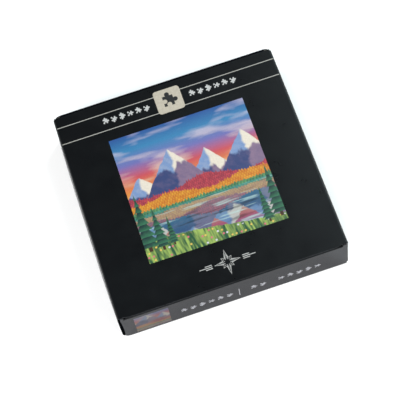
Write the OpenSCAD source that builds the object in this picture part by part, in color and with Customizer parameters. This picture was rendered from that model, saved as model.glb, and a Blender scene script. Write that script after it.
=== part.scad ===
// Small jigsaw puzzle in a folding carton: a board sleeve with a tuck closure at each
// end, and a clear sealed bag that holds the cut pieces.
// +X right, +Y to the far end, +Z up; the origin is at the centre of the base.

/* [Carton] */
// outside width, across the side walls
box_w = 115; // [90:1:180]
// outside length, end to end
box_l = 115; // [106:1:180]
// outside height when closed
box_h = 23; // [20:0.5:36]
// thickness of the board
board = 0.45; // [0.3:0.05:0.6]
// outer radius of the four long folds
fold_r = 0.9; // [0.7:0.1:2]
// radius of the bead at each scored crease
crease_r = 0.5; // [0.4:0.05:0.6]
// free gap left beside each crease bead
crease_gap = 0.25; // [0.15:0.05:0.5]
// width of the glued seam inside the left wall
glue_w = 13; // [8:1:20]

/* [Closures] */
// length of each tuck flap
tuck_l = 10; // [6:0.5:12]
// slope of the tucked flap away from its panel
tuck_slope = 20; // [18:1:30]
// corner radius of the tuck flap
tuck_corner = 7; // [3:0.5:9]
// length of the slit lock at each end of a tuck crease
lock_l = 2; // [1.5:0.5:8]
// how far the closure panel stops short of the side walls
closure_inset = 1; // [0.8:0.1:2]
// radius cut from the two corners beside the closure's crease
closure_relief = 2.2; // [1:0.1:4]
// length of each dust flap
dust_l = 16; // [10:0.5:20]
// taper of the dust flap, rise over run
dust_taper = 0.6; // [0.56:0.02:0.8]

/* [Puzzle] */
// columns of pieces in the picture
cols = 9; // [6:1:10]
// rows of pieces in the picture
rows = 8; // [6:1:10]
// side of the finished square picture
picture = 127.8; // [110:0.1:130]
// thickness of one piece
piece_t = 1.9; // [1.2:0.1:2]
// radius of the knob on a piece
knob_r = 1.75; // [1.2:0.05:2]
// distance of the knob's centre from the edge
knob_out = 1.15; // [0.8:0.05:1.4]
// clearance all round a cut line
kerf = 0.1; // [0.05:0.01:0.2]

/* [Bag] */
// thickness of the clear film
film = 0.2; // [0.15:0.05:0.4]
// distance between neighbouring stacks of pieces
pitch = 22; // [21:0.1:23]
// height given to each layer of pieces
layer_h = 2.1; // [1.4:0.05:2.3]
// depth of the heat-sealed fin at each end
fin_l = 3; // [2:0.5:5]

/* [Hidden] */
$fn = 48;
behind = board + 0.3;                        // outer face of a dust flap, from the end
dust_v = behind + crease_r;                  // dust flap crease, from the end
wall_v = dust_v + crease_r + crease_gap;     // side wall's cut edge, from the end
panel_v = 2 * crease_r + crease_gap;         // panel edge beside a closure's crease
slot_v = 0.2;                                // panel edge over a tuck flap
tuck_z = box_h - 0.6 - crease_r;             // height of the tuck crease
panel_hw = box_w / 2 - fold_r;               // half width of the flat panels
slit = crease_r + 0.3;                        // slit between lock tab and tuck flap
lock_x = box_w / 2 - closure_inset - lock_l; // inner end of each slit
tuck_hw = box_w / 2 - 1.6;                   // half width of the tuck flap
dust_x = box_w / 2 - crease_r;               // dust flap crease, from the centre
cell_x = picture / cols;
cell_y = picture / rows;
count = cols * rows;
pairs = floor(count / 2);
bag_y = -4.75;                               // centre of the bag, from the centre
bag_hw = 2 * pitch + 1.6;                     // half width of the bag
bag_z0 = 2 * board + 0.25;
bag_z1 = bag_z0 + 5 * layer_h + 1.4;
bag_r = 2;

function pair_name(p) = str("piece_pair_", p < 9 ? "0" : "", p + 1);

// ---- shared shapes ----
module block(lo, hi) translate(lo) cube(hi - lo);

// The near end as drawn; the far end is the same one turned over.
module near_end() translate([0, -box_l / 2, 0]) children();
module far_end() translate([0, 0, box_h]) rotate([180, 0, 0]) near_end() children();

// Upright plate from an outline in x and z, from y0 to y0 + t.
module upright(y0, t) translate([0, y0 + t, 0]) rotate([90, 0, 0])
    linear_extrude(t) children();

// One quarter of a fold's ring in x and z, about the centre c.
module fold_ring(c, sx, sz) translate(c) intersection() {
    difference() { circle(fold_r); circle(fold_r - board); }
    translate([sx > 0 ? 0 : -fold_r, sz > 0 ? 0 : -fold_r]) square(fold_r);
}

// ---- carton sleeve ----
// Main panel, with one end scored for its closure and the other cut to take a tuck.
module sleeve_panel(x0, x1) linear_extrude(board) polygon([
    [x0, box_l / 2 - panel_v], [x0, -box_l / 2 + behind], [-lock_x, -box_l / 2 + behind],
    [-lock_x, -box_l / 2 + slot_v], [lock_x, -box_l / 2 + slot_v],
    [lock_x, -box_l / 2 + behind], [x1, -box_l / 2 + behind],
    [x1, box_l / 2 - panel_v]]);

module top_panel() color("#17181a")
    translate([0, 0, box_h - board]) sleeve_panel(-panel_hw, panel_hw);

// The bottom is the same blank turned end for end; its left edge is the glued one.
module bottom_panel() color("#17181a")
    translate([0, 0, board]) rotate([180, 0, 0])
        sleeve_panel(-box_w / 2 + 0.3, panel_hw);

module left_wall() color("#101113") upright(-box_l / 2 + wall_v, box_l - 2 * wall_v) {
    translate([-box_w / 2, board + fold_r])
        square([board, box_h - 2 * fold_r - board]);
    fold_ring([-box_w / 2 + fold_r, box_h - fold_r], -1, 1);
    fold_ring([-box_w / 2 + fold_r, board + fold_r], -1, -1);
}

module right_wall() color("#101113") upright(-box_l / 2 + wall_v, box_l - 2 * wall_v) {
    translate([box_w / 2 - board, fold_r]) square([board, box_h - 2 * fold_r]);
    fold_ring([box_w / 2 - fold_r, box_h - fold_r], 1, 1);
    fold_ring([box_w / 2 - fold_r, fold_r], 1, -1);
}

module glue_flap() color("#8d8577") translate([-box_w / 2 + fold_r, 0, board])
    linear_extrude(board) polygon([
        [0, -box_l / 2 + wall_v], [glue_w, -box_l / 2 + wall_v + 7],
        [glue_w, box_l / 2 - wall_v - 7], [0, box_l / 2 - wall_v]]);

// ---- closures, drawn at the near end ----
module closure() {
    half = box_w / 2 - closure_inset;
    translate([-(half - closure_relief), crease_r, crease_r]) rotate([0, 90, 0])
        cylinder(r = crease_r, h = 2 * (half - closure_relief));
    upright(0, board) difference() {
        union() {
            translate([-half, crease_r])
                square([2 * half, tuck_z - 2 * crease_r - crease_gap]);
            for (s = [-1, 1])
                translate([s > 0 ? lock_x + 0.3 : -half, crease_r])
                    square([half - lock_x - 0.3, box_h - 0.15 - crease_r]);
        }
        for (s = [-1, 1]) translate([s * half, crease_r]) circle(closure_relief);
    }
}

module tuck_flap() {
    translate([-lock_x, crease_r, tuck_z]) rotate([0, 90, 0])
        cylinder(r = crease_r, h = 2 * lock_x);
    // the flap starts at the crease's axis and slopes away under the panel
    translate([0, crease_r, tuck_z]) rotate([-tuck_slope, 0, 0])
        linear_extrude(board) {
            translate([-lock_x + 0.3, 0.1]) square([2 * lock_x - 0.6, slit + 0.4]);
            intersection() {
                translate([-tuck_hw, slit]) square([2 * tuck_hw, tuck_l - slit]);
                union() {
                    translate([-tuck_hw, 0])
                        square([2 * tuck_hw, tuck_l - tuck_corner]);
                    translate([-tuck_hw + tuck_corner, 0])
                        square([2 * (tuck_hw - tuck_corner), tuck_l]);
                    for (s = [-1, 1])
                        translate([s * (tuck_hw - tuck_corner), tuck_l - tuck_corner])
                            circle(tuck_corner);
                }
            }
        }
}

// s is -1 at the left wall and 1 at the right one.
module dust_flap(s) {
    low = 2 * crease_r;
    high = box_h - board - 0.3;
    step = high - 2.6;
    translate([s * dust_x, dust_v, low]) cylinder(r = crease_r, h = high - low);
    upright(behind, board) polygon([
        [s * dust_x, low], [s * dust_x, high], [s * (dust_x - 0.8), high],
        [s * (dust_x - 1.2), step], [s * (dust_x - dust_l + 3), step - 0.6],
        [s * (dust_x - dust_l), step - 3.2],
        [s * (dust_x - dust_l), low + 0.4 + dust_taper * dust_l],
        [s * (dust_x - 1), low + 0.4 + dust_taper]]);
}

module near_closure() color("#232427") near_end() closure();
module near_tuck_flap() color("#1a1b1d") near_end() tuck_flap();
module near_left_dust_flap() color("#8d8577") near_end() dust_flap(-1);
module near_right_dust_flap() color("#8d8577") near_end() dust_flap(1);
module far_closure() color("#232427") far_end() closure();
module far_tuck_flap() color("#1a1b1d") far_end() tuck_flap();
module far_left_dust_flap() color("#8d8577") far_end() dust_flap(-1);
module far_right_dust_flap() color("#8d8577") far_end() dust_flap(1);

// ---- the bag ----
module bag_outline(inset) {
    w = bag_hw - inset;
    z0 = bag_z0 + inset;
    z1 = bag_z1 - inset;
    r = bag_r - inset;
    translate([-w, z0 + r]) square([2 * w, z1 - z0 - 2 * r]);
    translate([-w + r, z0]) square([2 * (w - r), z1 - z0]);
    for (x = [-w + r, w - r], z = [z0 + r, z1 - r]) translate([x, z]) circle(r);
}

module bag_film() color("#d8e4ea", 0.35)
    upright(bag_y - bag_hw, 2 * bag_hw) difference() {
        bag_outline(0);
        bag_outline(film);
    }

module bag_seal(side) {
    face = bag_y + side * bag_hw;
    mid = (bag_z0 + bag_z1) / 2;
    upright(side > 0 ? face : face - film, film) bag_outline(0);
    block([-bag_hw + 1, side > 0 ? face + film : face - film - fin_l, mid - film],
          [bag_hw - 1, side > 0 ? face + film + fin_l : face - film, mid + film]);
}
module bag_near_seal() color("#c6d4dc", 0.5) bag_seal(-1);
module bag_far_seal() color("#c6d4dc", 0.5) bag_seal(1);

// ---- the pieces ----
// The sign of a cut says which of its two pieces has the knob; 0 is the border.
function cut_x(i, j) = i < 0 || i >= cols - 1 ? 0
    : ((3 * i + 5 * j + i * j) % 2 == 0 ? 1 : -1);
function cut_y(i, j) = j < 0 || j >= rows - 1 ? 0
    : ((5 * i + 3 * j + floor((i + j) / 2)) % 2 == 0 ? 1 : -1);
function wander(i, j) = 1.3 * sin(97 * i + 173 * j + 31);

module knob(at, out, sign) {
    if (sign > 0) translate(at + out * knob_out) circle(knob_r);
}
module socket(at, out, sign) {
    if (sign < 0) translate(at - out * knob_out) circle(knob_r + kerf);
}

module piece(i, j) {
    w = cell_x / 2;
    h = cell_y / 2;
    sides = [
        [[w, wander(i, j)], [1, 0], cut_x(i, j)],
        [[-w, wander(i - 1, j)], [-1, 0], -cut_x(i - 1, j)],
        [[wander(j, i + 4), h], [0, 1], cut_y(i, j)],
        [[wander(j - 1, i + 4), -h], [0, -1], -cut_y(i, j - 1)]];
    linear_extrude(piece_t) difference() {
        union() {
            square([2 * w - kerf, 2 * h - kerf], center = true);
            for (s = sides) knob(s[0], s[1], s[2]);
        }
        for (s = sides) socket(s[0], s[1], s[2]);
    }
}

// Where piece n lies in the bag: 16 stacks, filled layer by layer in a shuffled order.
module packed_piece(n) {
    slot = (n * 29 + 11) % count;
    layer = floor(slot / 16);
    at = slot % 16;
    col = at % 4;
    row = layer < 4 ? floor(at / 4) : 1 + floor(at / 4);
    translate([(col - 1.5) * pitch, bag_y + (row - 1.5) * pitch,
               bag_z0 + film + 0.3 + layer * layer_h])
        rotate([0, 0, 90 * ((7 * n + layer) % 4)]) piece(n % cols, floor(n / cols));
}

module piece_pair(p) color(p % 3 == 0 ? "#3f6f9c" : p % 3 == 1 ? "#d98a2b" : "#a9303f") {
    packed_piece(2 * p);
    packed_piece(2 * p + 1);
}

top_panel();
bottom_panel();
left_wall();
right_wall();
glue_flap();
near_closure();
near_tuck_flap();
near_left_dust_flap();
near_right_dust_flap();
far_closure();
far_tuck_flap();
far_left_dust_flap();
far_right_dust_flap();
bag_film();
bag_near_seal();
bag_far_seal();
for (p = [0 : pairs - 1]) piece_pair(p);
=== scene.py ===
import math

import bmesh
import bpy
import numpy as np
from mathutils import Matrix, Vector, noise
from mathutils.geometry import delaunay_2d_cdt


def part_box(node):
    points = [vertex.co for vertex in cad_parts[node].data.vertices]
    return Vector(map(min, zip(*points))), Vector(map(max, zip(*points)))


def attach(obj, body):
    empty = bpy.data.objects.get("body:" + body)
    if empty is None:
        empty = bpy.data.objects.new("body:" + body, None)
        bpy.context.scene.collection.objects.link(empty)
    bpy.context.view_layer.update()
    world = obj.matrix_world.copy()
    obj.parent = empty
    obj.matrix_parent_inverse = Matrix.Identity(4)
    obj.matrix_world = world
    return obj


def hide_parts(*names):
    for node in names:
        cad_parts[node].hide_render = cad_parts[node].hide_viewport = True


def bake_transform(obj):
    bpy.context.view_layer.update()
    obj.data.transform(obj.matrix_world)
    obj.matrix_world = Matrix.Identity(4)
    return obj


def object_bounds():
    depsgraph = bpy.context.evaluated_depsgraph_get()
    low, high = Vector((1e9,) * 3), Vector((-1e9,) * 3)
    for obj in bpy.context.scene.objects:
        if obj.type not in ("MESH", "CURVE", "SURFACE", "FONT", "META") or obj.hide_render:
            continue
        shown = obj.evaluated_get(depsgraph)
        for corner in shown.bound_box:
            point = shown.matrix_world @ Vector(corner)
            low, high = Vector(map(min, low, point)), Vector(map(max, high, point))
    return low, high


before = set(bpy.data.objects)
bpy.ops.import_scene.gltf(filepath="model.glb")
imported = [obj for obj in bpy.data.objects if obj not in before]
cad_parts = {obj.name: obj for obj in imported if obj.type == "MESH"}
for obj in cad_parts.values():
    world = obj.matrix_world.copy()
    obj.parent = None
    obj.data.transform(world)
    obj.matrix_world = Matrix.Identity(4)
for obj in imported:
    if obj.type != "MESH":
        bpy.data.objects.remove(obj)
cad_lo, cad_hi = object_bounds()
MM = 0.001

# ---- sizes, in millimetres, from the frame ----
BOX_W = (cad_hi.x - cad_lo.x) / MM
BOX_L = (cad_hi.y - cad_lo.y) / MM
BOX_H = (cad_hi.z - cad_lo.z) / MM
_lo, _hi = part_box("top_panel")
BOARD = (_hi[2] - _lo[2]) / MM
FOLD = BOX_W / 2 - _hi[0] / MM              # outer radius of the long folds
PANEL_HW = _hi[0] / MM                      # half width of the flat panels
PANEL_V = BOX_L / 2 - _hi[1] / MM           # panel edge beside a crease, from the end
SLOT_V = BOX_L / 2 + _lo[1] / MM            # its cut edge over the tuck flap
CORNER_V = BOARD + 0.3                      # and at its two corners, behind the lock tabs
_lo, _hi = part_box("near_closure")
CREASE = (_hi[1] - _lo[1]) / MM / 2         # radius of a crease
CLOSURE_HW = _hi[0] / MM
TAB_Z = _hi[2] / MM
_lo, _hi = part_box("right_wall")
WALL_V = BOX_L / 2 + _lo[1] / MM
_lo, _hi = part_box("glue_flap")
GLUE_W = (_hi[0] - _lo[0]) / MM
_lo, _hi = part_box("near_tuck_flap")
TUCK_Z = _hi[2] / MM - CREASE - 0.85      # the crease sits low, with a dark slot over it
TUCK_HW = _hi[0] / MM
LOCK_X = CLOSURE_HW - 2.0                   # inner end of each slit
SLIT = CREASE + 0.3
TUCK_L, TUCK_SLOPE, TUCK_CORNER = 10.0, math.radians(20), 7.0
# corner radii, left and right: a closure's beside its hinge, and a dust flap's by its fold
RELIEF = {"near": {-1: 2.4, 1: 0.6}, "far": {-1: 2.4, 1: 2.4}}
RUBBED = {"near": {-1: 1.9, 1: 0.0}, "far": {-1: 1.9, 1: 2.3}}
BOW = {-1: 0.8, 1: 0.35}                    # how far the filled carton's side walls bow out
_lo, _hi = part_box("near_right_dust_flap")
DUST_L = (_hi[0] - _lo[0]) / MM - CREASE
DUST_Z0, DUST_Z1 = _lo[2] / MM - 0.5, _hi[2] / MM + 0.1
LEFT_IN = 0.2                               # the closure stops short at its left edge
BEHIND = BOX_L / 2 + _lo[1] / MM            # outer face of a dust flap, from the end
NEAR_Y = -BOX_L / 2


# ---- node materials ----
def lin(code, k=1.0):
    """A hex colour as linear RGB."""
    v = np.array([int(code[i:i + 2], 16) / 255 for i in (1, 3, 5)])
    return np.where(v <= 0.04045, v / 12.92, ((v + 0.055) / 1.055) ** 2.4) * k


def rgba(c):
    return (float(c[0]), float(c[1]), float(c[2]), 1.0)


SOCKETS = {"base": "Base Color", "spec": "Specular IOR Level", "tint": "Specular Tint",
           "ior": "IOR", "roughness": "Roughness", "metallic": "Metallic"}


class Nodes:
    """A material's tree, with short calls for the nodes used below."""

    def __init__(self, name):
        self.mat = bpy.data.materials.new(name)
        self.mat.use_nodes = True
        self.tree = self.mat.node_tree
        self.shader = self.tree.nodes["Principled BSDF"]
        self.coords = self.tree.nodes.new("ShaderNodeTexCoord").outputs["Object"]

    def link(self, out, socket):
        self.tree.links.new(out, socket)

    def noise(self, scale, detail=4.0, rough=0.55, stretch=None):
        n = self.tree.nodes.new("ShaderNodeTexNoise")
        n.inputs["Scale"].default_value = scale
        n.inputs["Detail"].default_value = detail
        n.inputs["Roughness"].default_value = rough
        source = self.coords
        if stretch:
            m = self.tree.nodes.new("ShaderNodeMapping")
            m.inputs["Scale"].default_value = stretch
            self.link(source, m.inputs["Vector"])
            source = m.outputs["Vector"]
        self.link(source, n.inputs["Vector"])
        return n.outputs["Fac"]

    def ramp(self, fac, stops):
        r = self.tree.nodes.new("ShaderNodeValToRGB")
        while len(r.color_ramp.elements) < len(stops):
            r.color_ramp.elements.new(0.5)
        for e, (at, c) in zip(r.color_ramp.elements, stops):
            e.position = at
            e.color = rgba(c) if np.ndim(c) else (c, c, c, 1)
        self.link(fac, r.inputs["Fac"])
        return r.outputs["Color"]

    def math(self, op, a, b):
        n = self.tree.nodes.new("ShaderNodeMath")
        n.operation = op
        for s, v in zip(n.inputs, (a, b)):
            if isinstance(v, (int, float)):
                s.default_value = v
            else:
                self.link(v, s)
        return n.outputs[0]

    def mix(self, fac, a, b, blend="MIX"):
        n = self.tree.nodes.new("ShaderNodeMix")
        n.data_type = "RGBA"
        n.blend_type = blend
        if isinstance(fac, (int, float)):
            n.inputs["Factor"].default_value = fac
        else:
            self.link(fac, n.inputs["Factor"])
        for s, v in ((n.inputs[6], a), (n.inputs[7], b)):
            if isinstance(v, (tuple, list, np.ndarray)):
                s.default_value = rgba(v)
            else:
                self.link(v, s)
        return n.outputs[2]

    def attribute(self, name, out="Color"):
        n = self.tree.nodes.new("ShaderNodeAttribute")
        n.attribute_name = name
        return n.outputs[out]

    def bump(self, layers):
        """layers: (height, strength, distance) from coarse to fine."""
        before = None
        for height, strength, distance in layers:
            b = self.tree.nodes.new("ShaderNodeBump")
            b.inputs["Strength"].default_value = strength
            b.inputs["Distance"].default_value = distance
            self.link(height, b.inputs["Height"])
            if before is not None:
                self.link(before, b.inputs["Normal"])
            before = b.outputs["Normal"]
        self.link(before, self.shader.inputs["Normal"])

    def set(self, **values):
        for k, v in values.items():
            s = self.shader.inputs[SOCKETS[k]]
            if isinstance(v, (int, float)):
                s.default_value = v
            elif isinstance(v, (tuple, list, np.ndarray)):
                s.default_value = rgba(v)
            else:
                self.link(v, s)


def coated_black(name="coated_black", spec=0.2, rough=(0.27, 0.36), tint=(0.95, 0.98, 1)):
    """Black gloss-printed board: faint fibre relief under the varnish, fold wear."""
    n = Nodes(name)
    cloud = n.noise(34, 5, 0.6)
    fibre = n.noise(900, 3, 0.5, (1, 0.35, 1))
    body = n.ramp(cloud, [(0.3, lin("#050608")), (0.75, lin("#080a0c"))])
    wear = n.math("MULTIPLY", n.attribute("wear", "Fac"), n.noise(420, 6, 0.7))
    worn = n.ramp(wear, [(0.36, 0.0), (0.62, 1.0)])
    n.set(base=n.mix(worn, body, lin("#4d4c4a")), spec=spec, tint=tint)
    n.set(roughness=n.ramp(n.noise(120, 4, 0.6), [(0.3, rough[0]), (0.75, rough[1])]))
    n.bump([(n.noise(26, 2, 0.4), 0.05, 0.0006), (fibre, 0.10, 0.00004)])
    return n.mat


def board_edge():
    """The cut edge of the board: dark grey plies."""
    n = Nodes("board_edge")
    ply = n.noise(260, 3, 0.5, (0.3, 0.3, 5))
    n.set(base=n.ramp(ply, [(0.3, lin("#18191b")), (0.7, lin("#323438"))]), spec=0.25)
    n.set(roughness=n.ramp(n.noise(700), [(0.3, 0.78), (0.7, 0.95)]))
    n.bump([(ply, 0.4, 0.00006)])
    return n.mat


def board_back():
    """The uncoated inside of the board, warm grey recycled fibre with specks."""
    n = Nodes("board_back")
    fibre = n.noise(520, 6, 0.65, (1, 0.4, 1))
    base = n.ramp(fibre, [(0.3, lin("#8b8780")), (0.7, lin("#a6a29a"))])
    speck = n.ramp(n.noise(1500, 2, 0.5), [(0.66, 0.0), (0.72, 1.0)])
    n.set(base=n.mix(speck, base, lin("#5d564d")), spec=0.2)
    n.set(roughness=n.ramp(n.noise(300), [(0.3, 0.8), (0.7, 0.95)]))
    n.bump([(fibre, 0.3, 0.00008)])
    return n.mat


def printed(name):
    """Four-colour print from the mesh's own painted colours, with a fine screen."""
    n = Nodes(name)
    colour = n.attribute("art")
    grain = n.ramp(n.noise(1300, 3, 0.6), [(0.25, 0.86), (0.75, 1.0)])
    n.set(base=n.mix(1.0, colour, grain, "MULTIPLY"), spec=0.42)
    n.set(roughness=n.ramp(n.noise(200), [(0.3, 0.36), (0.7, 0.46)]))
    n.bump([(n.noise(900, 3, 0.5, (1, 0.35, 1)), 0.08, 0.00003)])
    return n.mat


def ink(name, code, metal=0.0, rough=(0.4, 0.5)):
    """A flat spot ink or foil, with uneven cover."""
    n = Nodes(name)
    cover = n.noise(800, 4, 0.6)
    n.set(base=n.ramp(cover, [(0.25, lin(code, 0.78)), (0.7, lin(code))]))
    n.set(metallic=metal, ior=1.5)
    n.set(roughness=n.ramp(n.noise(500), [(0.3, rough[0]), (0.7, rough[1])]))
    n.bump([(cover, 0.12, 0.00003)])
    return n.mat


BLACK, EDGE, BACK = coated_black(), board_edge(), board_back()
# a copy of the black board for the closures only, with weaker reflection tinted blue: painted
# shade and a painted blue reflection
SHADED_BLUE_END_BLACK = coated_black("coated_black_end", 0.13, (0.2, 0.27), (0.62, 0.69, 1))
SHADE_BLACK = coated_black("glossless_black_painted_shade", 0.0)      # no gloss, used on the left dust flaps only so their folds render black: painted shade
ART = printed("printed_art")
BEIGE = ink("beige_ink", "#a19a8c")
STONE = ink("stone_grey_ink", "#92918b")
PALE = ink("pale_grey_ink", "#a2a3a2")
DARK = ink("black_ink", "#141516", 0.0, (0.36, 0.42))
DULL = ink("dull_grey_ink", "#85868c")
SILVER = ink("silver_foil", "#b4b4b2", 0.4, (0.34, 0.46))


# ---- meshes ----
SHARP, FILM_SHARP = 35, 80       # degrees past which an edge is sharp, on board and on film


def finish_mesh(me):
    """Outward normals, smooth faces and sharp edges."""
    bm = bmesh.new()
    bm.from_mesh(me)
    bmesh.ops.recalc_face_normals(bm, faces=bm.faces)
    bm.to_mesh(me)
    bm.free()
    for p in me.polygons:
        p.use_smooth = True
    me.set_sharp_from_angle(angle=math.radians(SHARP))


def make(name, verts, faces, mats, face_mats=None, colours=None, wear=None, solid=True):
    """A mesh object from points in millimetres."""
    me = bpy.data.meshes.new(name)
    me.from_pydata((np.asarray(verts) * MM).tolist(), [], [list(map(int, f)) for f in faces])
    for m in mats:
        me.materials.append(m)
    if face_mats is not None:
        me.polygons.foreach_set("material_index", np.asarray(face_mats, np.int32))
    if colours is not None:
        a = me.color_attributes.new("art", "FLOAT_COLOR", "POINT")
        c = np.ones((len(verts), 4), np.float32)
        c[:, :3] = colours
        a.data.foreach_set("color", c.ravel())
    if wear is not None:
        a = me.attributes.new("wear", "FLOAT", "POINT")
        a.data.foreach_set("value", np.asarray(wear, np.float32))
    if solid:
        finish_mesh(me)
    ob = bpy.data.objects.new(name, me)
    bpy.context.scene.collection.objects.link(ob)
    return ob


def plate_parts(P, N, t, wear):
    """One patch of board as a closed solid: outer face, inner face and cut edges."""
    m, n = P.shape[:2]
    k = m * n
    idx = np.arange(k).reshape(m, n)
    a, b, c, d = idx[:-1, :-1], idx[:-1, 1:], idx[1:, 1:], idx[1:, :-1]
    outer = np.stack([a, b, c, d], -1).reshape(-1, 4)
    inner = np.stack([a, d, c, b], -1).reshape(-1, 4) + k
    ring = np.concatenate([idx[0, :], idx[1:, -1], idx[-1, -2::-1], idx[-2:0:-1, 0]])
    nxt = np.roll(ring, -1)
    rim = np.stack([nxt, ring, ring + k, nxt + k], -1)
    verts = np.concatenate([P.reshape(-1, 3), (P - N * t).reshape(-1, 3)])
    faces = np.concatenate([outer, inner, rim])
    mats = np.concatenate([np.zeros(len(outer)), np.full(len(inner), 2), np.ones(len(rim))])
    w = np.concatenate([wear.ravel(), wear.ravel() * 0])
    return verts, faces, mats.astype(int), w


def board(name, patches, body=None, stands_for=(), face=BLACK):
    """A piece of carton board from one or more patches (P, N, wear)."""
    verts, faces, mats, wears, base = [], [], [], [], 0
    for P, N, wear in patches:
        v, f, m, w = plate_parts(P, N, BOARD, wear)
        verts.append(v)
        faces.append(f + base)
        mats.append(m)
        wears.append(w)
        base += len(v)
    ob = make(name, np.concatenate(verts), np.concatenate(faces), [face, EDGE, BACK],
              np.concatenate(mats), wear=np.concatenate(wears))
    if body:
        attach(ob, body)
    if stands_for:
        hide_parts(*stands_for)
    return ob


class Bend:
    """The outline of a bent board: straight runs and arcs in a plane, with its normals."""

    def __init__(self, at, heading, step=3.0):
        self.at, self.h, self.step = np.array(at, float), math.radians(heading), step
        self.p, self.a = [self.at.copy()], [self.h]

    def run(self, length, step=None):
        n = max(1, int(round(length / (step or self.step))))
        for _ in range(n):
            self.at = self.at + length / n * np.array([math.cos(self.h), math.sin(self.h)])
            self.p.append(self.at.copy())
            self.a.append(self.h)
        return self

    def turn(self, degrees, radius, n=8):
        """Turns clockwise by degrees, with the outer face's radius."""
        for _ in range(n):
            b = math.radians(degrees) / n
            chord = 2 * radius * math.sin(b / 2)
            self.at = self.at + chord * np.array([math.cos(self.h - b / 2),
                                                  math.sin(self.h - b / 2)])
            self.h -= b
            self.p.append(self.at.copy())
            self.a.append(self.h)
        return self

    def arrays(self):
        p, a = np.array(self.p), np.array(self.a)
        return p, np.stack([-np.sin(a), np.cos(a)], -1)


def fold_wear(p, corners, reach=1.6):
    """1 at the folds' corners, falling to 0 within reach."""
    d = np.min([np.hypot(*(p - np.array(c)).T) for c in corners], axis=0)
    return np.clip(1 - d / reach, 0, 1)


# ---- the sleeve ----
def sleeve():
    """Glue flap, left wall, top, right wall and bottom as one folded blank."""
    hw = BOX_W / 2
    tick, tiny = 0.02, 1e-4                # a step where the blank's end changes; a tolerance
    wall_step, end_gap, seam_bevel, wear_reach, rows = 1.5, 0.34, 7, 5.0, 40
    beside = hw - FOLD - tick - LOCK_X - tick
    path = Bend([-hw + FOLD + GLUE_W, BOARD], 180)           # under the glue flap
    path.run(GLUE_W).turn(90, FOLD).run(BOX_H - 2 * FOLD - BOARD, wall_step).turn(90, FOLD)
    path.run(tick).run(beside).run(tick).run(2 * LOCK_X).run(tick).run(beside).run(tick)
    path.turn(90, FOLD).run(BOX_H - 2 * FOLD, wall_step).turn(90, FOLD)
    path.run(tick).run(beside).run(tick).run(2 * LOCK_X).run(tick).run(hw - LOCK_X - end_gap)
    p, n = path.arrays()
    x, z = p[:, 0], p[:, 1]
    top, bottom = z > BOX_H - tiny, z < tiny
    flap = (np.abs(z - BOARD) < tiny) & (x < -hw + FOLD + GLUE_W + 1)
    flap[len(x) // 2:] = False
    flat = np.abs(x) < PANEL_HW - tick / 2
    # how far each part of the blank stops short of the box's two ends
    cut = np.where(np.abs(x) < LOCK_X - tick / 2, SLOT_V, CORNER_V)
    near = np.where(top & flat, cut, WALL_V)
    far = np.where(top & flat, PANEL_V, WALL_V)
    under = bottom & (x < PANEL_HW - tick / 2)
    near = np.where(under, PANEL_V, near)
    far = np.where(under, cut, far)
    # the long folds' ends slant from the panel's corner back to the wall, over the dust flaps
    slant = np.clip((np.abs(z - BOX_H / 2) - DUST_Z1 + BOX_H / 2) / (BOX_H - DUST_Z1), 0, 1)
    slant = WALL_V + (CORNER_V - WALL_V) * slant
    near = np.where(~flat & (z > DUST_Z1), slant, near)
    far = np.where(~flat & (x > 0) & (z < BOX_H - DUST_Z1), slant, far)
    bevel = WALL_V + np.clip((x + hw - FOLD) / GLUE_W, 0, 1) * seam_bevel
    near, far = np.where(flap, bevel, near), np.where(flap, bevel, far)
    s = np.linspace(0, 1, rows)
    y = (-BOX_L / 2 + near)[:, None] * (1 - s) + (BOX_L / 2 - far)[:, None] * s
    side = np.sin(math.pi * np.clip((z - FOLD) / (BOX_H - 2 * FOLD), 0, 1))
    side = side * (np.abs(x) > hw - tick / 2) * np.where(x < 0, BOW[-1], BOW[1])
    swell = side[:, None] * (1 - (y / (BOX_L / 2)) ** 4)
    P = np.stack([x[:, None] + n[:, 0:1] * swell, y, z[:, None] + n[:, 1:2] * swell], -1)
    N = np.repeat(np.stack([n[:, 0], n[:, 0] * 0, n[:, 1]], -1)[:, None], rows, 1)
    corners = [(-hw, BOX_H), (hw, BOX_H), (hw, 0), (-hw, BOARD)]
    wear = np.repeat(fold_wear(p, corners)[:, None], rows, 1)
    ends = np.clip(1 - (BOX_L / 2 - np.abs(y)) / wear_reach, 0, 1)
    wear = np.clip(wear * (0.66 + 0.3 * ends), 0, 1)
    board("carton_sleeve", [(P, N, wear)], "sleeve",
          ("top_panel", "bottom_panel", "left_wall", "right_wall", "glue_flap"))


def turned(P):
    """A near-end patch turned over to the far end."""
    return P * np.array([1, -1, -1]) + np.array([0, 0, BOX_H])


def across(path, half, columns=24):
    """Sweeps a path in (v, z) across x, between half(s, -1) and half(s, 1)."""
    p, n = path.arrays()
    s = np.concatenate([[0], np.cumsum(np.hypot(*np.diff(p, axis=0).T))])
    left, right = ([half(v, side) for v in s] for side in (-1, 1))
    t = np.linspace(0, 1, columns)[None]
    x = -np.array(left)[:, None] * (1 - t) + np.array(right)[:, None] * t
    P = np.stack([x, np.repeat((NEAR_Y + p[:, 0])[:, None], columns, 1),
                  np.repeat(p[:, 1][:, None], columns, 1)], -1)
    N = np.repeat(np.stack([n[:, 0] * 0, n[:, 0], n[:, 1]], -1)[:, None], columns, 1)
    return P, N, p


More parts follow.
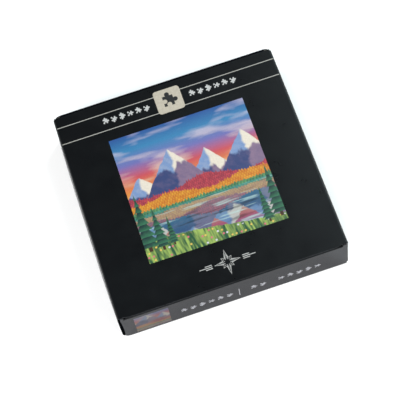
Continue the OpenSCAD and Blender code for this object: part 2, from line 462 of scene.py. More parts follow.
def closure_patches(relief):
    """The near closure, as patches of board: from under the bottom panel to the tuck crease."""
    fine, coarse = 0.3, 1.5
    path = Bend([PANEL_V, 0], 180)
    path.run(PANEL_V - CREASE, fine).turn(90, CREASE, 8)
    start = PANEL_V - CREASE + CREASE * math.pi / 2
    lowest = (0.3, 0.3, 0.4, 0.5, 0.7)        # closer steps where the corners are round
    for r in lowest:
        path.run(r)
    path.run(TUCK_Z - CREASE - sum(lowest), coarse)

    def half(s, side):
        r = relief[side]
        up = max(s - start, 0)
        lift = r - min(up, r)
        bow = LEFT_IN * (1 + 2 * math.sin(math.pi * min(1, up / (TUCK_Z - CREASE))))
        bow = bow if side < 0 else 0
        return CLOSURE_HW - bow - r + math.sqrt(max(0, r * r - lift * lift))

    P, N, p = across(path, half)
    wear = np.repeat(fold_wear(p, [(0, 0)], 0.9)[:, None], P.shape[1], 1) * 0.45
    edge = np.clip(1 - (CLOSURE_HW - np.abs(P[..., 0])) / 0.7, 0, 1)
    out = [(P, N, np.maximum(wear, edge * 0.5))]
    up, along = 4, 6
    for side in (-1, 1):       # the lock tabs stand up past each slit
        z = np.linspace(TUCK_Z, TAB_Z, up)
        x = np.linspace(LOCK_X + 0.3, CLOSURE_HW - LEFT_IN * (side < 0), along) * side
        T = np.stack([np.repeat(x[None], up, 0), np.full((up, along), NEAR_Y),
                      np.repeat(z[:, None], along, 1)], -1)
        out.append((T, np.zeros_like(T) + [0, -1, 0], np.full((up, along), 0.45)))
    return out


def tuck_patches():
    """The near tuck flap, from its crease to its rounded free edge."""
    path = Bend([0, TUCK_Z], 90)
    path.turn(90 + math.degrees(TUCK_SLOPE), CREASE, 10)
    ring = CREASE * (math.pi / 2 + TUCK_SLOPE)
    for r in (SLIT - 0.02, 0.02, 0.8, 1.0, 1.0, 1.0, 1.0, 1.0, 1.0, 0.8, 0.6, 0.5, 0.3, 0.15):
        path.run(r)

    def half(s, _side):
        d = s - ring
        if d < SLIT - 0.01:
            return LOCK_X
        up = max(0.0, d - (TUCK_L - TUCK_CORNER))
        return TUCK_HW - TUCK_CORNER + math.sqrt(
            max(0.0, TUCK_CORNER ** 2 - min(up, TUCK_CORNER) ** 2))

    P, N, p = across(path, half)
    wear = np.repeat(fold_wear(p, [(0, TUCK_Z + CREASE)], 0.6)[:, None], P.shape[1], 1)
    return [(P, N, wear * 0.35)]


def dust_patches(side, rubbed):
    """A dust flap at the near end, with its fold round to the side wall."""
    path = Bend([WALL_V, 0], 180)                 # in (v, d): d is depth from the wall
    path.run(WALL_V - BEHIND - CREASE, 0.4).turn(90, CREASE, 8)
    for r in (0.3, 0.02, 0.38, 0.3, 1, 1.5, 2, 2, 2, 2, 1.6, 1.2, 0.7):
        path.run(r)
    p, n = path.arrays()
    v, d = p.T
    run = np.clip(d - CREASE, 0, None)            # distance past the crease's centre
    # the top edge steps down past the crease, and both edges taper to the free end
    high = np.interp(run, [0, 0.79, 0.83, 1.2, DUST_L - 3, DUST_L],
                     [DUST_Z1, DUST_Z1, DUST_Z1 - 1.2, DUST_Z1 - 2.6, DUST_Z1 - 3.2,
                      DUST_Z1 - 5.8])
    low = np.interp(run, [0, 0.6, 1, DUST_L], [DUST_Z0, DUST_Z0, DUST_Z0 + 1.0,
                                               DUST_Z0 + 0.4 + 0.6 * DUST_L])
    # the corner beside the fold is rubbed round
    low = low + rubbed * np.clip(1 - d / (2 * CREASE), 0, 1) ** 1.5
    k = 12
    z = low[:, None] + (high - low)[:, None] * np.linspace(0, 1, k)[None]
    x = side * (BOX_W / 2 - d)
    P = np.stack([np.repeat(x[:, None], k, 1), np.repeat((NEAR_Y + v)[:, None], k, 1), z], -1)
    N = np.repeat(np.stack([n[:, 1] * -side, n[:, 0], n[:, 0] * 0], -1)[:, None], k, 1)
    wear = np.repeat(fold_wear(p, [(BEHIND, 0)], 1.1)[:, None], k, 1)
    return [(P, N, wear * 0.8)]


def both_ends():
    """Closures, tuck flaps and dust flaps, each bending round its crease."""
    for end in ("near", "far"):
        far = end == "far"

        def flip(patches):
            return [(turned(P), N * [1, -1, -1], w) for P, N, w in patches] if far else patches

        def point(v, up, x=0.0):
            p = np.array([x, NEAR_Y + v, up])
            return tuple((turned(p) if far else p) * MM)

        # the closures use the weaker, blue-tinted copy of the black board: painted shade and
        # reflection
        c = board(end + "_closure_board", flip(closure_patches(RELIEF[end])),
                  stands_for=(end + "_closure",), face=SHADED_BLUE_END_BLACK)
        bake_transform(c)
        t = board(end + "_tuck_board", flip(tuck_patches()),
                  stands_for=(end + "_tuck_flap",))
        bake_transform(t)
        for side, label in ((-1, "left"), (1, "right")):
            node = f"{end}_{label}_dust_flap"
            # the left dust flaps take the glossless black, a painted shade at their folds
            d = board(node + "_board", flip(dust_patches(side, RUBBED[end][side])),
                      stands_for=(node,), face=SHADE_BLACK if side < 0 else BLACK)
            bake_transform(d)


# ---- the cover picture: a made-up mountain lake, painted from shapes ----
ART_SIZE, SOFT_EDGE = 69.8, 0.22       # its side, and the blur of a painted edge


def hashed(i, j, seed):
    """A repeatable random value, 0 to 1, for each cell of a grid."""
    h = np.sin(i * 12.9898 + j * 78.233 + seed * 3.17) * 43758.5453
    return h - np.floor(h)


def cloudy(x, y, seed, octaves=4):
    """Smooth random values, 0 to 1, with finer and finer detail."""
    total, size = 0.0, 0.0
    for k in range(octaves):
        u, v = x * 2 ** k, y * 2 ** k
        i, j = np.floor(u), np.floor(v)
        a, b = u - i, v - j
        a, b = a * a * (3 - 2 * a), b * b * (3 - 2 * b)
        low = hashed(i, j, seed + k) * (1 - a) + hashed(i + 1, j, seed + k) * a
        high = hashed(i, j + 1, seed + k) * (1 - a) + hashed(i + 1, j + 1, seed + k) * a
        total = total + (low * (1 - b) + high * b) * 0.5 ** k
        size += 0.5 ** k
    return total / size


def mixed(a, b, t):
    """Linear colours from code a to code b."""
    t = np.clip(t, 0, 1)[..., None]
    return lin(a) * (1 - t) + lin(b) * t


def laid_over(c, d, colour):
    """The colours c with another laid where the distance d is negative."""
    a = np.clip(0.5 - d * ART_SIZE / SOFT_EDGE, 0, 1)[..., None]
    return c * (1 - a) + np.asarray(colour) * a


SHORE = 0.36      # height of the far shore in the picture
# each peak's place, top and slope, and the sky's colours by height
PEAKS = [(0.12, 0.66, 1.25), (0.37, 0.80, 1.35), (0.62, 0.71, 1.20), (0.90, 0.77, 1.30)]
SKY = [(0.42, "#ffe08a"), (0.55, "#f79a45"), (0.66, "#dd5a63"), (0.77, "#7c7cc4"),
       (0.88, "#3f8fc4"), (1.0, "#2a5ca6")]


def dusk_sky(x, y):
    """Bands of dusk colour with long pale streaks."""
    heights = [h for h, _ in SKY]
    stops = np.array([lin(code) for _, code in SKY])
    c = np.stack([np.interp(y, heights, stops[:, k]) for k in range(3)], -1)
    streak = np.clip((cloudy(x * 3, y * 13, 3) - 0.5) * 5, 0, 1)
    warm = mixed("#ffd9a0", "#e9dcf0", (y - 0.55) * 3)
    return c * (1 - 0.6 * streak[..., None]) + warm * 0.6 * streak[..., None]


def snowy_peaks(c, x, y):
    """Four peaks, lit from the right, with snow above a ragged line."""
    jag = 0.05 * (cloudy(x * 16, y * 0, 5) - 0.5)
    for cx, top, slope in sorted(PEAKS, key=lambda peak: peak[1]):
        crest = top - slope * np.abs(x - cx) + jag
        arete = cx + 0.10 * (cloudy(y * 14, y * 0, cx * 9) - 0.5) * np.clip((top - y) * 6, 0, 1)
        lit = np.clip((x - arete) * 60 + 0.5, 0, 1)
        crag = cloudy(x * 34 + y * 20, y * 34, 11)
        rock = mixed("#3b4a80", "#9a7f9c", 0.75 * lit + 0.5 * crag - 0.2)
        snow = mixed("#88a6d6", "#fff4e2", lit + 0.35 * crag - 0.15)
        line = top - 0.17 + 0.13 * (cloudy(x * 22, y * 9, 17) - 0.5)
        cover = np.clip((y - line) * 40, 0, 1)[..., None]
        c = laid_over(c, y - crest, rock * (1 - cover) + snow * cover)
    return c


def forest(c, x, y, base, rise, low, high, seed, crowns=46):
    """A wooded ridge: rows of pointed crowns, lit on top, each row set half a crown along."""
    row = np.floor(y * crowns * 1.1)
    u = x * crowns + 0.5 * (row % 2) + 0.3 * hashed(row, 1, seed)
    k = np.floor(u)
    edge = np.floor(x * crowns)
    point = 1 - 2 * np.abs(x * crowns - edge - 0.5)
    crest = base + rise * cloudy(x * 3.5, x * 0, seed) + 0.024 * point * hashed(edge, 0, seed)
    up = y * crowns * 1.1 - row
    shade = np.clip(1.15 - 1.6 * np.abs(u - k - 0.5) * (0.5 + up), 0, 1) * (0.45 + 0.6 * up)
    tone = 0.1 + 0.75 * shade + 0.4 * (hashed(k, row, seed) - 0.5)
    return laid_over(c, y - crest, mixed(low, high, tone))


def land(x, y):
    """Sky, peaks and three wooded ridges."""
    c = snowy_peaks(dusk_sky(x, y), x, y)
    c = forest(c, x, y, 0.43, 0.11, "#7c2440", "#e2545e", 21, 60)
    c = forest(c, x, y, 0.40, 0.08, "#c4541c", "#fdbb3c", 27, 52)
    return forest(c, x, y, 0.365, 0.03, "#1c5a4c", "#74b070", 33, 44)


def lake(c, x, y):
    """The land upside down in water, broken by level ripples."""
    depth = SHORE - y
    ripple = cloudy(x * 5, y * 70 / (1 + 5 * depth), 41) - 0.5
    under = land(x + 0.03 * ripple, SHORE + depth * 1.25 + 0.02 * ripple)
    blue = mixed("#3aa6b0", "#164f82", depth * 4)
    water = 0.58 * under + 0.42 * blue
    glint = np.clip((ripple - 0.14) * 9, 0, 1)[..., None]
    water = water * (1 - 0.6 * glint) + lin("#cdf0ec") * 0.6 * glint
    dark = np.clip((-ripple - 0.15) * 8, 0, 1)[..., None]
    return laid_over(c, y - SHORE, water * (1 - 0.5 * dark))


def meadow(c, x, y):
    """The near bank, with blades of grass and small flowers."""
    crest = 0.10 + 0.05 * np.cos(3.4 * (x - 0.1)) + 0.012 * cloudy(x * 70, x * 0, 47)
    blade = cloudy(x * 90 + y * 12, y * 14, 51, 2)
    c = laid_over(c, y - crest, mixed("#1d5a3a", "#b4d268", 1.7 * blade - 0.4))
    u, v = x * 34, y * 34
    i, j = np.floor(u), np.floor(v)
    spot = np.hypot(u - i - 0.3 - 0.4 * hashed(i, j, 5), v - j - 0.5) - 0.24
    tint = hashed(i, j, 8)[..., None]
    pale = np.where(tint < 0.7, lin("#f2788c"), lin("#f4f0ff"))
    petal = np.where(tint < 0.4, lin("#ffd76a"), pale)
    grows = (hashed(i, j, 2) < 0.3) & (y < crest - 0.012)
    return laid_over(c, np.where(grows, spot / 34, 9), petal)


def conifer(c, x, y, cx, foot, height):
    """A fir with drooping tiers."""
    t = (y - foot) / height
    tier = t * 9 - np.floor(t * 9)
    half = 0.17 * height * (1 - t) * (0.62 + 0.5 * (1 - tier))
    side = np.where((t > 0.04) & (t < 1), np.abs(x - cx) - half, 9)
    tone = 0.75 * (1 - tier) + 0.4 * (cloudy(x * 60, y * 60, 61) - 0.5) + (x - cx) * 3
    trunk = np.maximum(np.abs(x - cx) - 0.012 * height / 0.4, np.abs(t - 0.02) - 0.06)
    c = laid_over(c, trunk, lin("#4a2c18"))
    return laid_over(c, side, mixed("#0f3436", "#3f8a62", tone))


def paint(x, y):
    """A mountain lake at dusk: linear colours at points whose x and y run from 0 to 1."""
    x, y = np.asarray(x, float), np.asarray(y, float)
    c = meadow(lake(land(x, y), x, y), x, y)
    for cx, foot, height in ((0.04, 0.10, 0.44), (0.13, 0.08, 0.33), (0.21, 0.09, 0.22),
                             (0.97, 0.05, 0.40), (0.88, 0.03, 0.27)):
        c = conifer(c, x, y, cx, foot, height)
    return 0.52 * np.clip(c, 0, 1)


def picture(name, nx, ny, place, window=(0, 1, 0, 1), gain=1.0):
    """A painted sheet; place(u, v) gives its point in millimetres for u, v in 0..1."""
    u, v = np.meshgrid(np.linspace(0, 1, nx), np.linspace(0, 1, ny))
    x0, x1, y0, y1 = window
    colours = paint(x0 + (x1 - x0) * u, y0 + (y1 - y0) * v) * gain
    idx = np.arange(nx * ny).reshape(ny, nx)
    faces = np.stack([idx[:-1, :-1], idx[:-1, 1:], idx[1:, 1:], idx[1:, :-1]], -1)
    return make(name, place(u, v).reshape(-1, 3), faces.reshape(-1, 4), [ART],
                colours=colours.reshape(-1, 3), solid=False)


# ---- printed marks ----
INK = 0.012           # height of printed marks over the board, in millimetres
ICON_W = 2.3


def jigsaw(w, h, sides, r, out, kerf=0.0, n=18):
    """Outline of a piece, anticlockwise.

    sides holds (place, sign) for right, top, left and bottom: where the knob lies along the
    side, and 1 for a knob, -1 for its socket or 0 for a plain side.
    """
    hw, hh = (w - kerf) / 2, (h - kerf) / 2
    corner = np.array([(hw, -hh), (hw, hh), (-hw, hh), (-hw, -hh)])
    pts = []
    for k, (place, sign) in enumerate(sides):
        o = np.array([(1, 0), (0, 1), (-1, 0), (0, -1)][k], float)
        d = np.array([-o[1], o[0]])
        pts.append(corner[k])
        if not sign:
            continue
        rr = r if sign > 0 else r + kerf
        c = sign * out + kerf / 2
        mid = o * (hw, hh)[k % 2] + np.abs(d) * place
        b = math.asin(abs(c) / rr)
        t = np.linspace(math.pi + b, -b, n) if sign > 0 else \
            np.linspace(math.pi - b, 2 * math.pi + b, n)
        arc = mid + o * c + rr * (np.outer(np.cos(t), d) + np.outer(np.sin(t), o))
        pts.extend(arc)
    return np.array(pts)


def inset(loop, by):
    """The loop moved inward by a small distance."""
    t = np.roll(loop, -1, 0) - np.roll(loop, 1, 0)
    t /= np.maximum(np.linalg.norm(t, axis=1, keepdims=True), 1e-9)
    return loop + np.stack([-t[:, 1], t[:, 0]], -1) * by


def ribbon(points, width, closed=True):
    """A stroke of even width along a line; vertices and faces in its plane."""
    p = np.asarray(points, float)
    if closed:
        t = np.roll(p, -1, 0) - np.roll(p, 1, 0)
    else:
        t = np.gradient(p, axis=0)
    t = t / np.maximum(np.linalg.norm(t, axis=1, keepdims=True), 1e-9)
    o = np.stack([-t[:, 1], t[:, 0]], -1) * width / 2
    n = len(p)
    v = np.concatenate([p + o, p - o])
    last = n if closed else n - 1
    i = np.arange(last)
    j = (i + 1) % n
    return v, np.stack([i, j, j + n, i + n], -1)


def strokes(name, lines, place, mat):
    """Many strokes as one printed mark. lines: (points, width, closed)."""
    verts, faces, base = [], [], 0
    for pts, width, closed in lines:
        v, f = ribbon(pts, width, closed)
        verts.append(v)
        faces.append(f + base)
        base += len(v)
    return make(name, place(np.concatenate(verts)), np.concatenate(faces), [mat], solid=False)


def filled(name, loops, place, mat):
    """A printed shape with holes, from closed loops of points."""
    cu = bpy.data.curves.new(name + "_outline", "CURVE")
    cu.dimensions, cu.fill_mode = "2D", "BOTH"
    for loop in loops:
        sp = cu.splines.new("POLY")
        sp.points.add(len(loop) - 1)
        for q, (a, b) in zip(sp.points, loop):
            q.co = (a, b, 0, 1)
        sp.use_cyclic_u = True
    tmp = bpy.data.objects.new(name + "_outline", cu)
    bpy.context.scene.collection.objects.link(tmp)
    bpy.context.view_layer.update()
    me = bpy.data.meshes.new_from_object(tmp)
    verts = np.array([v.co[:2] for v in me.vertices])
    faces = [list(p.vertices) for p in me.polygons]
    bpy.data.objects.remove(tmp)
    return make(name, place(verts), faces, [mat], solid=False)


def on_top(p, lift=INK):
    """Points on the printed face of the top panel."""
    return np.concatenate([p, np.full((len(p), 1), BOX_H + lift)], 1)


def on_end(p, lift=INK):
    """Points on the printed face of the near closure."""
    return np.stack([p[:, 0], np.full(len(p), NEAR_Y - lift), p[:, 1]], -1)


def rounded(w, h, r, n=6):
    """Outline of a rectangle with round corners."""
    pts = []
    for cx, cy, a in ((w / 2 - r, h / 2 - r, 0), (-w / 2 + r, h / 2 - r, 90),
                      (-w / 2 + r, -h / 2 + r, 180), (w / 2 - r, -h / 2 + r, 270)):
        for i in range(n + 1):
            t = math.radians(a + 90 * i / n)
            pts.append((cx + r * math.cos(t), cy + r * math.sin(t)))
    return np.array(pts)


def icon_row(x0, x1, y, h, count, skip=()):
    """Outlines of a row of small jigsaw pieces, each with its own knobs."""
    w, r, out = ICON_W, ICON_W * 0.2, ICON_W * 0.13
    ups = [(1, -1), (-1, 1), (1, 1), (-1, -1)]
    pitch = (x1 - x0) / count
    row = []
    for k in range(count):
        if k in skip:
            continue
        up, down = ups[k % 4]
        p = jigsaw(w, h, ((0, 1), (0, up), (0, -1), (0, down)), r, out)
        row.append(p + [x0 + pitch * (k + 0.5), y])
    return row


def rule(name, y, width, columns=60):
    """A printed line right across the top panel, ending on the side folds."""
    left, right = -BOX_W / 2 + FOLD * 0.7, BOX_W / 2 - FOLD * 0.12
    across_it = np.sin(np.linspace(-math.pi / 2, math.pi / 2, columns))    # closest at the folds
    x = (left + right) / 2 + (right - left) / 2 * across_it
    x = np.concatenate([x, x])
    y = np.repeat([y - width / 2, y + width / 2], columns)
    drop = FOLD - np.sqrt(FOLD ** 2 - np.clip(np.abs(x) - PANEL_HW, 0, None) ** 2)
    i = np.arange(columns - 1)
    faces = np.stack([i, i + 1, i + 1 + columns, i + columns], -1)
    return make(name, np.stack([x, y, BOX_H + INK - drop], -1), faces, [STONE], solid=False)


def star(middle, outer, inner, width):
    """A compass star's outline: four long points, four short ones and the notches between."""
    k = np.arange(16)
    t = np.radians(k * 22.5)
    r = np.where(k % 4 == 0, outer, np.where(k % 2, inner, outer * 0.56))
    return np.stack([np.cos(t), np.sin(t)], -1) * r[:, None] + middle, width, True


def printed_on(made, body):
    """Fixes printed marks to the body whose board they are on."""
    for ob in made:
        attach(ob, body)


def cover_print():
    """Everything printed on the top panel."""
    art_x, art_y = 0.35, -0.2
    half = ART_SIZE / 2

    def flat(u, v):
        return np.stack([art_x - half + ART_SIZE * u, art_y - half + ART_SIZE * v,
                         np.full_like(u, BOX_H + INK)], -1)

    made = [picture("cover_picture", 281, 281, flat)]
    band_y, band_h, rule_w = BOX_L / 2 - 11.85, 9.5, 0.42
    made.append(rule("cover_rule_far", band_y + band_h / 2, rule_w))
    made.append(rule("cover_rule_near", band_y - band_h / 2, rule_w))
    # badge: a beige block with a piece of the puzzle left black in it
    badge = rounded(13.7, 13.4, 1.6) + [0.5, BOX_L / 2 - 11.05]
    piece = jigsaw(5.4, 5.8, ((0, 1), (0, 1), (0, -1), (0, -1)), 1.25, 0.8)
    made.append(filled("cover_badge", [badge], lambda p: on_top(p, INK * 2), BEIGE))
    made.append(filled("cover_badge_piece", [piece + [0.3, BOX_L / 2 - 11.4]],
                       lambda p: on_top(p, INK * 3), DARK))
    row_y, icon_h = band_y + 0.45, 2.5
    row = icon_row(-35.0, -9.4, row_y, icon_h, 6)
    row += icon_row(10.2, 36.0, row_y, icon_h, 6)
    made.append(filled("cover_icon_row", row, on_top, PALE))
    # ornament under the picture: a compass star between two sets of plain lines
    middle = np.array([0.6, -BOX_L / 2 + 10.9])
    lines = [star(middle, 6.4, 2.2, 0.5), star(middle, 4.3, 1.4, 0.28)]
    start, line_w = 7.6, 0.4
    for side in (-1, 1):
        for rise, reach in ((0.9, 11.0), (0.0, 14.0), (-0.9, 11.0)):
            ends = np.array([[side * start, rise], [side * reach, rise]])
            lines.append((ends + middle, line_w, False))
    made.append(strokes("cover_ornament", lines, on_top, SILVER))
    printed_on(made, "sleeve")


def end_print():
    """The near closure's print: a part of the picture, icons and a bar."""
    x0, x1, z0, z1 = -50.2, -33.0, 1.8, 18.9

    def flat(u, v):
        return np.stack([x0 + (x1 - x0) * u, np.full_like(u, NEAR_Y - INK),
                         z0 + (z1 - z0) * v], -1)

    part, gain = (0.18, 0.72, 0.27, 0.80), 0.3
    made = [picture("end_picture", 71, 69, flat, part, gain)]
    row_z, icon_h = 9.3, 2.8
    row = icon_row(-28.4, -0.8, row_z, icon_h, 6)
    row += icon_row(6.8, 43.6, row_z, icon_h, 8, skip=(2,))
    made.append(filled("end_icon_row", row, on_end, DULL))
    bar_x, bar_w = 1.95, 0.45
    bar = (np.array([[bar_x, 5.0], [bar_x, 8.0], [bar_x, 12.9]]), bar_w, False)
    made.append(strokes("end_bar", [bar], on_end, DULL))
    printed_on(made, "near_closure")


# ---- the cut pieces ----
COLS, ROWS, CUT_SIDE = 9, 8, 127.8              # the cut, and the finished picture's side
KNOB_R, KNOB_OUT, KERF, PIECE_T = 1.75, 1.15, 0.1, 1.9
ROUND_IN, ROUND_DOWN = 0.14, 0.16               # a piece's pressed edge
PILES, PITCH, LAYER_H, BAG_Y = 4, 22, 2.1, -4.75     # piles each way, and how they stand
SHUFFLE, FIRST = 29, 11                         # piece n lies in slot n * SHUFFLE + FIRST


def cut_signs(i, j):
    """Which side of each cut the knob is on: right, top, left and bottom of piece i, j."""
    def along_x(a):
        return 0 if a < 0 or a >= COLS - 1 else (1 if (3 * a + 5 * j + a * j) % 2 == 0 else -1)

    def along_y(b):
        return 0 if b < 0 or b >= ROWS - 1 else (
            1 if (5 * i + 3 * b + (i + b) // 2) % 2 == 0 else -1)

    return along_x(i), along_y(j), -along_x(i - 1), -along_y(j - 1)


def wander(a, b):
    """How far a cut's knob lies off the middle of its side."""
    return 1.3 * math.sin(math.radians(97 * a + 173 * b + 31))


def piece_parts(n, z0):
    """Piece n where it lies in the bag: printed top, rounded edge, chipboard sides."""
    i, j = n % COLS, n // COLS
    places = (wander(i, j), wander(j, i + 4), wander(i - 1, j), wander(j - 1, i + 4))
    w, h = CUT_SIDE / COLS, CUT_SIDE / ROWS
    loop = jigsaw(w, h, list(zip(places, cut_signs(i, j))), KNOB_R, KNOB_OUT, KERF)
    rim = inset(loop, ROUND_IN)
    margin, spacing = 3, 0.55
    gx, gy = np.meshgrid(np.arange(-w / 2 - margin, w / 2 + margin, spacing),
                         np.arange(-h / 2 - margin, h / 2 + margin, spacing))
    grid = np.stack([gx.ravel(), gy.ravel()], -1)
    k = len(rim)
    points = [Vector(q) for q in np.concatenate([rim, grid])]
    inside_only, tolerance = 1, 1e-5
    flat, _, tris, *_ = delaunay_2d_cdt(points, [], [list(range(k))], inside_only, tolerance)
    top = np.array([q[:] for q in flat])
    near = np.array([np.argmin(np.hypot(*(top - q).T)) for q in rim])
    m = len(top)
    xy = np.concatenate([top, loop, loop])
    z = np.concatenate([np.full(m, PIECE_T), np.full(k, PIECE_T - ROUND_DOWN), np.zeros(k)])
    a = np.arange(k)
    b = (a + 1) % k
    faces = [list(t) for t in tris]
    faces += np.stack([near[a], m + a, m + b, near[b]], -1).tolist()
    mats = [0] * len(faces)
    faces += np.stack([m + a, m + k + a, m + k + b, m + b], -1).tolist()
    faces.append((m + k + a[::-1]).tolist())
    mats += [1] * k + [2]
    colours = paint((i + 0.5) / COLS + xy[:, 0] / CUT_SIDE, (j + 0.5) / ROWS + xy[:, 1] / CUT_SIDE)
    # the slot it lies in; the last layer is half full, over the middle rows
    slot = (n * SHUFFLE + FIRST) % (COLS * ROWS)
    layer, at = slot // PILES ** 2, slot % PILES ** 2
    col, row = at % PILES, at // PILES + (layer >= 4)
    turn = math.radians(90 * ((7 * n + layer) % 4))
    c, s = math.cos(turn), math.sin(turn)
    mid = (PILES - 1) / 2
    xy = xy @ np.array([[c, s], [-s, c]]) + [(col - mid) * PITCH, BAG_Y + (row - mid) * PITCH]
    verts = np.concatenate([xy, (z + z0 + layer * LAYER_H)[:, None]], 1)
    return verts, faces, mats, colours


def chipboard(name, low, high):
    """Pressed grey board: soft fibre, flecks and a fuzzy cut."""
    n = Nodes(name)
    fibre = n.noise(650, 5, 0.65, (1, 1, 2.2))
    base = n.ramp(fibre, [(0.3, lin(low)), (0.7, lin(high))])
    fleck = n.ramp(n.noise(1700, 2, 0.5), [(0.64, 0.0), (0.72, 1.0)])
    n.set(base=n.mix(fleck, base, lin("#6d675f")), spec=0.2)
    n.set(roughness=n.ramp(n.noise(300), [(0.3, 0.82), (0.7, 0.96)]))
    n.bump([(fibre, 0.4, 0.0001)])
    return n.mat


def puzzle_pieces():
    """All the pieces, two to an object as in the CAD."""
    side = chipboard("chipboard_side", "#8b857c", "#aea79b")
    back = chipboard("chipboard_back", "#a7a8a6", "#c0c1be")
    pairs = COLS * ROWS // 2
    z0 = min(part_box(f"piece_pair_{p + 1:02d}")[0][2] for p in range(pairs)) / MM
    for p in range(pairs):
        verts, faces, mats, colours, base = [], [], [], [], 0
        for n in (2 * p, 2 * p + 1):
            v, f, m, c = piece_parts(n, z0)
            verts.append(v)
            faces += [[q + base for q in face] for face in f]
            mats += m
            colours.append(c)
            base += len(v)
        ob = make(f"cut_pieces_{p + 1:02d}", np.concatenate(verts), faces, [ART, side, back],
                  mats, colours=np.concatenate(colours))
        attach(ob, "bag_of_pieces")
        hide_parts(f"piece_pair_{p + 1:02d}")


# ---- the bag ----
def film_material():
    """Clear polythene: faint haze, soft creases, plain see-through share."""
    n = Nodes("clear_polythene")
    haze = n.noise(60, 4, 0.6)
    n.set(base=n.ramp(haze, [(0.3, lin("#c9d3d8")), (0.75, lin("#eef3f5"))]), ior=1.5, spec=1.0)
    n.set(roughness=n.ramp(n.noise(180, 3, 0.5), [(0.3, 0.10), (0.75, 0.22)]))
    n.shader.inputs["Alpha"].default_value = 0.24
    n.bump([(n.noise(150, 4, 0.6, (1, 0.5, 1)), 0.35, 0.0005),
            (n.noise(700, 3, 0.5), 0.15, 0.0001)])
    return n.mat


WALL_IN, FILM_R = 0.25, 2.2      # the film's sides stand in from the bag's box; its round edges
AROUND, UP = 78, 7               # points across its top or bottom, and steps up a side


def ramped(t):
    """0 to 1 with level ends."""
    return t * t * (3 - 2 * t)


def gap(v):
    """1 midway between two piles, falling to 0 over them."""
    off = (v + PITCH / 2) % PITCH - PITCH / 2
    return ramped(np.clip(1 - np.abs(off) / 3.4, 0, 1))


def creased(x, y, z, seed):
    """Sharp random creases, mostly short and slanting."""
    v = Vector((x * 0.11 + seed, y * 0.075, z * 0.1))
    a = 1 - abs(noise.noise(v)) * 3.2
    b = 1 - abs(noise.noise(Vector((x * 0.24, y * 0.2 + seed, z * 0.2 + 4)))) * 3
    return max(a, 0) ** 2 * 0.62 + max(b, 0) ** 2 * 0.28


def film_section(hw, z0, lift, t):
    """The film across the bag at t: over the top, down the right, back under, up the left."""
    r = FILM_R
    u = np.linspace(-1, 1, AROUND)
    xs = [(hw - WALL_IN) * math.sin(q * math.pi / 2 * 0.999) for q in u]

    def drop(x):
        out = max(0.0, abs(x) - (hw - WALL_IN - r))
        return r - math.sqrt(max(0.0, r * r - out * out))

    over, under = lift - r, z0 + r
    most_sag, under_gap = 0.95, 0.04
    sags = [min(0.75 * gap(x) + 0.75 * gap(t), most_sag) for x in xs]
    section = [(x, lift - drop(x) - sag) for x, sag in zip(xs, sags)]
    section += [(hw - WALL_IN, over + (under - over) * k / UP) for k in range(1, UP)]
    section += [(x, z0 + under_gap + drop(x)) for x in xs[::-1]]
    section += [(-hw + WALL_IN, under + (over - under) * k / UP) for k in range(1, UP)]
    return section


def bag():
    """A pillow of thin film drawn over the piles, gathered into a flat seal at each end."""
    (_, y0, z0), (hw, y1, z1) = (np.array(c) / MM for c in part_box("bag_film"))
    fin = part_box("bag_far_seal")[1][1] / MM - y1
    mid, half_l, r = (z0 + z1) / 2 - 0.6, (y1 - y0) / 2, FILM_R
    rows = np.concatenate([np.linspace(-half_l - fin, -half_l, 9)[:-1],
                           np.linspace(-half_l, -half_l + r, 9)[:-1],
                           np.linspace(-half_l + r, half_l - r, 158),
                           np.linspace(half_l - r, half_l, 9)[1:],
                           np.linspace(half_l, half_l + fin, 9)[1:]])
    low_h, step_h, step_y, step_l = 10.75, 1.55, 25.2, 4.2     # the middle rows pile higher
    side_w, side_h, pull_in, seal_t, inset_z = 2, 4.5, 0.55, 0.018, 0.02
    verts = []
    for t in rows:
        past = abs(t) - (half_l - r)
        squeeze = 1.0 if past <= 0 else math.sqrt(max(0.0, 1 - min(1, past / r) ** 2))
        end = math.exp(-max(0.0, half_l + fin - abs(t)) / 7.0)
        lift = low_h + step_h * ramped(np.clip((step_y - abs(t)) / step_l, 0, 1))
        section = film_section(hw, z0, lift, t)
        ring = len(section)
        for x, z in section:
            top = z > mid
            side = abs(x) > hw - side_w
            crease = creased(x, t, z, 3.1 if top else 8.7)
            wave = 2 * noise.noise(Vector((x * 0.2, t * 0.1, 1)))
            gather = 0.42 * end * math.sin(x * 1.7 + wave)
            if side and abs(z - mid) < side_h:
                x -= math.copysign(pull_in * crease, x)
            flat = max(squeeze, seal_t)
            zz = mid + (z - mid) * flat
            if top and not side:
                zz += (crease * 0.8 - 0.1) * min(1, flat * 1.5)
            zz += gather * min(1.0, (1 - squeeze) * 1.2 + 0.25 * (top and not side))
            pull = 1 - 0.03 * end
            verts.append((x * pull, BAG_Y + t, min(max(zz, z0 + inset_z), z1 - inset_z)))
    m = len(rows)
    idx = np.arange(m * ring).reshape(m, ring)
    nxt = np.roll(idx, -1, 1)
    faces = np.stack([idx[:-1], nxt[:-1], nxt[1:], idx[1:]], -1).reshape(-1, 4).tolist()
    faces += [idx[0, ::-1].tolist(), idx[-1].tolist()]
    ob = make("puzzle_bag", verts, faces, [film_material()])
    ob.data.set_sharp_from_angle(angle=math.radians(FILM_SHARP))
    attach(ob, "bag_of_pieces")
    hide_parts("bag_film", "bag_near_seal", "bag_far_seal")


# ---- studio ----
# name, place and size in metres, power in watts, and a colour where it isn't white
LAMPS = [("key", (-0.6, -1.0, 1.2), (1.4, 1.0), 29),
         ("fill", (1.1, -0.9, 1.0), (1.2, 1.2), 20),
         ("left", (-1.3, 0.5, 0.9), (1.0, 1.0), 12),
         ("sheen", (0.42, 0.30, 0.62), (0.34, 0.34), 3.7, (0.86, 1, 1.02))]
# the camera: turned left of the near end, raised and tilted, in degrees
AZIMUTH, ELEVATION, TILT = -7.21, 64.55, -11.83
AWAY = 6.649                      # its distance, in carton widths
SHIFT_RIGHT, SHIFT_UP = -0.0008, 0.00541
LENS, SENSOR = 139.6, 36


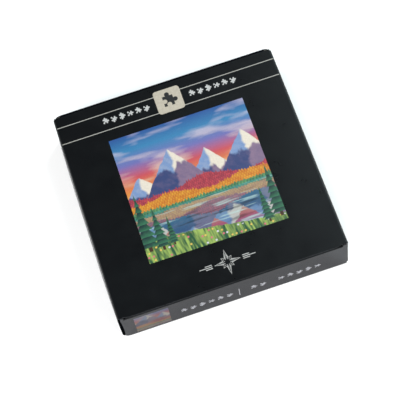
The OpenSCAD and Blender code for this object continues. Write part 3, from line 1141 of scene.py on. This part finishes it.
def floor():
    """A pale sweep for the object to stand on."""
    n = Nodes("studio_floor")
    tone = n.ramp(n.noise(3, 3, 0.5), [(0.3, lin("#f4f4f4")), (0.7, lin("#f7f7f7"))])
    n.set(base=tone, spec=0.1)
    n.set(roughness=n.ramp(n.noise(40), [(0.3, 0.85), (0.7, 0.95)]))
    reach, lines, below = 1200, 21, 0.02
    g = np.linspace(-reach, reach, lines)
    x, y = np.meshgrid(g, g)
    idx = np.arange(lines ** 2).reshape(lines, lines)
    faces = np.stack([idx[:-1, :-1], idx[:-1, 1:], idx[1:, 1:], idx[1:, :-1]], -1)
    verts = np.stack([x, y, np.full_like(x, -below)], -1).reshape(-1, 3)
    ob = make("studio_floor", verts, faces.reshape(-1, 4), [n.mat], solid=False)


def area(name, at, size, power, colour=(1, 1, 1)):
    """A soft rectangular lamp aimed at the carton."""
    data = bpy.data.lights.new(name, "AREA")
    data.shape, data.size, data.size_y = "RECTANGLE", size[0], size[1]
    data.energy, data.color = power, colour
    ob = bpy.data.objects.new(name, data)
    bpy.context.scene.collection.objects.link(ob)
    ob.location = at
    ob.rotation_euler = (-Vector(at)).to_track_quat("-Z", "Y").to_euler()
    ob.visible_camera = False


def studio():
    """Floor, walls, ceiling and lamps."""
    floor()
    world = bpy.data.worlds.new("studio")
    world.use_nodes = True
    tree = world.node_tree
    new, link = tree.nodes.new, tree.links.new
    split, ramp = new("ShaderNodeSeparateXYZ"), new("ShaderNodeValToRGB")
    link(new("ShaderNodeTexCoord").outputs["Generated"], split.inputs[0])
    link(split.outputs["Z"], ramp.inputs["Fac"])
    walls, ceiling = ramp.color_ramp.elements
    walls.color = (0.95, 0.95, 0.95, 1)
    ceiling.color = (0.195, 0.2, 0.2, 1)
    ceiling.position = 0.34
    link(ramp.outputs["Color"], tree.nodes["Background"].inputs["Color"])
    bpy.context.scene.world = world
    for name, at, size, power, *colour in LAMPS:
        area(name, at, size, power, *colour)
    scene = bpy.context.scene
    scene.view_settings.view_transform = "Standard"
    scene.view_settings.look = "None"


def camera():
    """The view from above the near end, a little to the left, with a tilt."""
    az, el, roll = (math.radians(a) for a in (AZIMUTH, ELEVATION, TILT))
    fwd = np.array([-math.sin(az) * math.cos(el), math.cos(az) * math.cos(el), -math.sin(el)])
    hor = np.cross(fwd, [0, 0, 1])
    hor /= np.linalg.norm(hor)
    over = np.cross(hor, fwd)
    R = math.cos(roll) * hor + math.sin(roll) * over
    U = -math.sin(roll) * hor + math.cos(roll) * over
    centre = np.array([0, 0, BOX_H / 2 * MM])
    at = centre - SHIFT_RIGHT * R - SHIFT_UP * U - AWAY * BOX_W * MM * fwd
    data = bpy.data.cameras.new("camera")
    data.lens, data.sensor_width = LENS, SENSOR
    data.clip_start, data.clip_end = 0.01, 20
    ob = bpy.data.objects.new("camera", data)
    m = Matrix(np.stack([R, U, -fwd], 1).tolist()).to_4x4()
    m.translation = at.tolist()
    ob.matrix_world = m
    bpy.context.scene.collection.objects.link(ob)
    bpy.context.scene.camera = ob


camera()
sleeve()
both_ends()
cover_print()
end_print()
puzzle_pieces()
bag()
studio()
